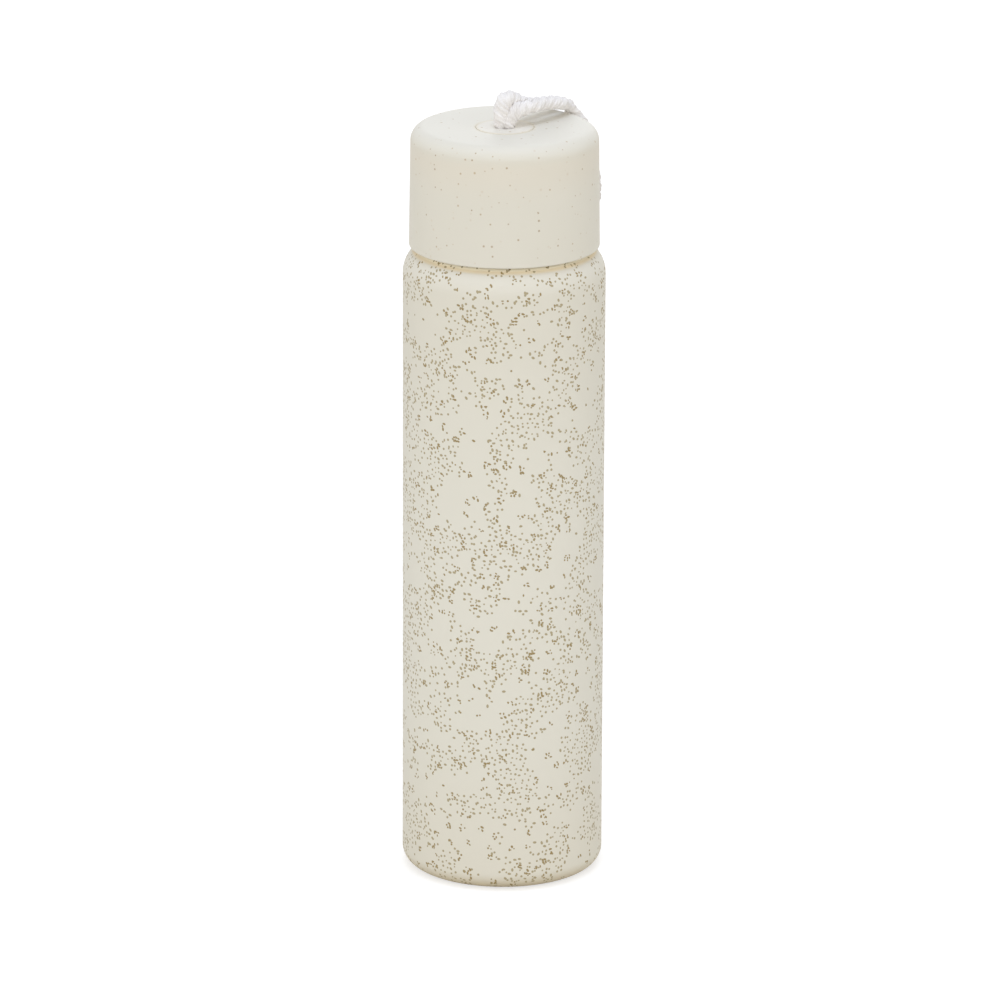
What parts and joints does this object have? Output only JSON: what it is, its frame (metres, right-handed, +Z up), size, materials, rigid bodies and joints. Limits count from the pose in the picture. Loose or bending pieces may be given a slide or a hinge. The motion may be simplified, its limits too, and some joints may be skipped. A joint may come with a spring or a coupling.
{
  "type": "glass bottle with screw cap",
  "caption": "Slim cylindrical glass drink bottle with a speckled matte coat, a wide screw cap and a cotton rope loop threaded through the cap's top.",
  "frame": {"origin": "centre of the standing face under the bottle, on the bottle's axis", "axes": "+Z up along the bottle's axis; -Y is the side the picture shows; the rope hangs over the cap's edge at +X and +Y"},
  "size_m": [0.065, 0.065, 0.2579],
  "materials": {
    "coated_glass": "clear glass with an opaque matte cream coat, speckled golden brown",
    "cap_plastic": "matte cream with fine brown specks",
    "liner_plastic": "off-white moulded plastic",
    "silicone": "translucent white silicone",
    "cotton": "soft twisted cotton rope"
  },
  "bodies": {
    "bottle": {"glass_bottle": "coated_glass"},
    "seal": {"seal_ring": "silicone"},
    "cap": {"cap_shell": "cap_plastic", "cap_liner": "liner_plastic", "rope_button": "cap_plastic"},
    "loop": {"rope_loop": "cotton", "rope_knot": "cotton"}
  },
  "joints": [
    {"name": "cap_lift", "type": "slide", "parent": "bottle", "child": "seal", "axis": [0, 0, 1], "range_m": [0, 0.0301]},
    {"name": "cap_turn", "type": "hinge", "parent": "seal", "child": "cap", "pos_m": [0, 0, 0.2083], "axis": [0, 0, 1], "range_deg": [0, 1800]},
    {"name": "loop_swivel", "type": "hinge", "parent": "cap", "child": "loop", "pos_m": [0, 0, 0.2427], "axis": [0, 0, 1], "continuous": true}
  ],
  "couplings": [
    {"joint": "cap_lift", "follows": "cap_turn", "m_per_rad": 0.00095493}
  ]
}
